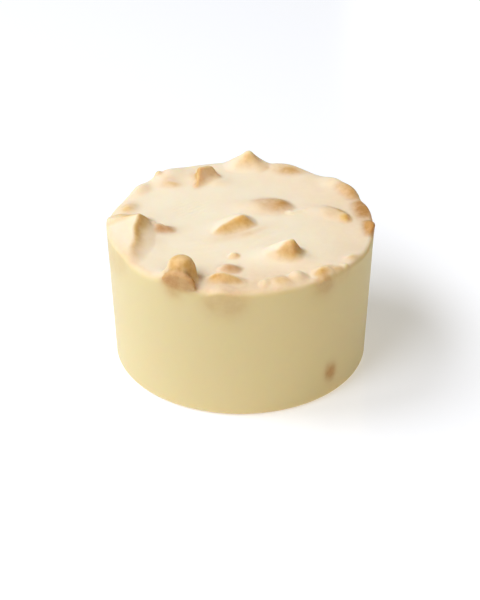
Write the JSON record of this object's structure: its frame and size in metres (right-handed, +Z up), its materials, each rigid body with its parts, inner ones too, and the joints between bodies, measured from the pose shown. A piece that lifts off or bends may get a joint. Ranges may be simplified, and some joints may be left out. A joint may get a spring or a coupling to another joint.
{
  "type": "white chocolate nut cluster",
  "caption": "Round white chocolate block with a tapered wall and chopped roasted nuts standing out of its open top face.",
  "frame": {"origin": "the middle of the flat round base, on the surface that the block stands on", "axes": "+Z up through the nutty top face, -Y towards the side that shows in the picture, +X to the right of that side"},
  "size_m": [0.0361, 0.036, 0.0226],
  "materials": {
    "white_chocolate": "satin",
    "roasted_nut": "matte"
  },
  "bodies": {
    "root": {"nut_cluster": "white_chocolate"}
  },
  "joints": []
}
